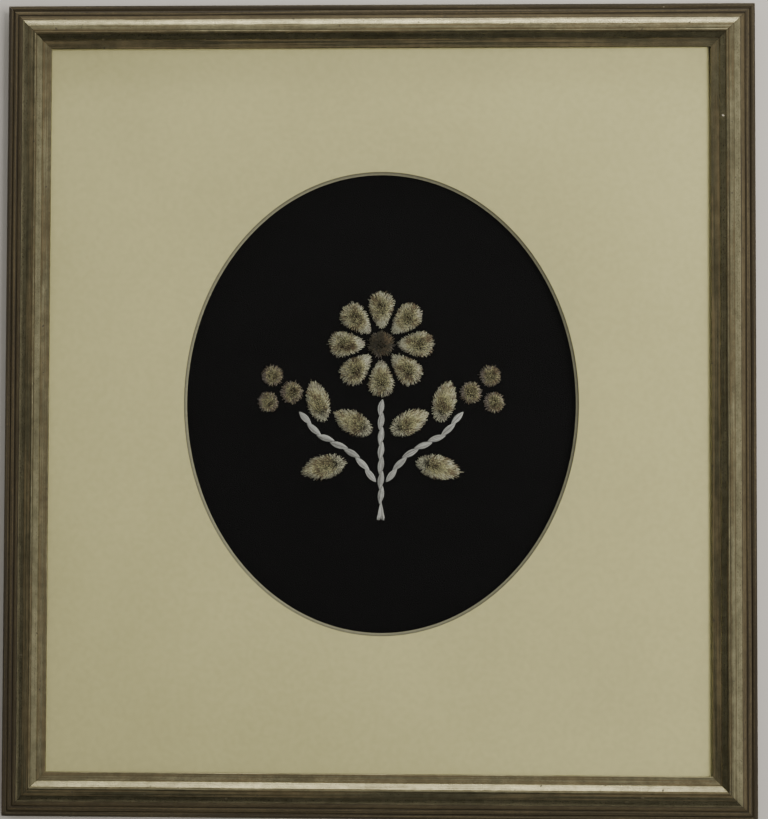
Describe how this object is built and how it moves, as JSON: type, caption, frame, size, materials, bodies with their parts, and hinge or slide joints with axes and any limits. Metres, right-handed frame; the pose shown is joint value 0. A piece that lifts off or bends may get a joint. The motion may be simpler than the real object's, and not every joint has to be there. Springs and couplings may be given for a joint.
{
  "type": "framed moose hair tufting picture",
  "caption": "Flat oblong picture: trimmed hair tufts and couched hair stems on black velvet, seen through a mat's oval window under glass in a reeded, mitred silvered wood frame.",
  "frame": {"origin": "middle of the back, on the plane of the backing board's and the rails' rear faces", "axes": "+Z out of the picture's face, +Y to the picture's top, +X to the picture's right seen from the front"},
  "size_m": [0.3404, 0.369, 0.0176],
  "materials": {
    "silvered_wood": "wood moulding under antiqued silver leaf, worn on the reeds and dark brown in the hollows",
    "fibreboard": "plain brown fibreboard",
    "black_velvet": "short black velvet pile",
    "mat_board": "matt cream paper board with a pale bevelled cut edge",
    "glass": "clear flat picture glass",
    "cream_hair": "trimmed upright moose hair, cream with yellowish and brown hairs",
    "brown_hair": "trimmed upright moose hair, dark brown",
    "grey_hair": "trimmed upright moose hair, grey brown",
    "white_hair": "bundled pale moose hair, couched at even steps"
  },
  "bodies": {
    "root": {"rail_bottom": "silvered_wood", "rail_right": "silvered_wood", "rail_top": "silvered_wood", "rail_left": "silvered_wood", "backing_board": "fibreboard", "ground_cloth": "black_velvet", "mat": "mat_board", "glass": "glass", "petal_1": "cream_hair", "petal_2": "cream_hair", "petal_3": "cream_hair", "petal_4": "cream_hair", "petal_5": "cream_hair", "petal_6": "cream_hair", "petal_7": "cream_hair", "petal_8": "cream_hair", "flower_centre": "brown_hair", "leaf_right_upper": "cream_hair", "leaf_right_middle": "cream_hair", "leaf_right_lower": "cream_hair", "leaf_left_upper": "cream_hair", "leaf_left_middle": "cream_hair", "leaf_left_lower": "cream_hair", "berry_right_inner": "grey_hair", "berry_right_outer": "grey_hair", "berry_right_top": "grey_hair", "berry_left_inner": "grey_hair", "berry_left_outer": "grey_hair", "berry_left_top": "grey_hair", "stem_middle": "white_hair", "stem_left": "white_hair", "stem_right": "white_hair"}
  },
  "joints": []
}
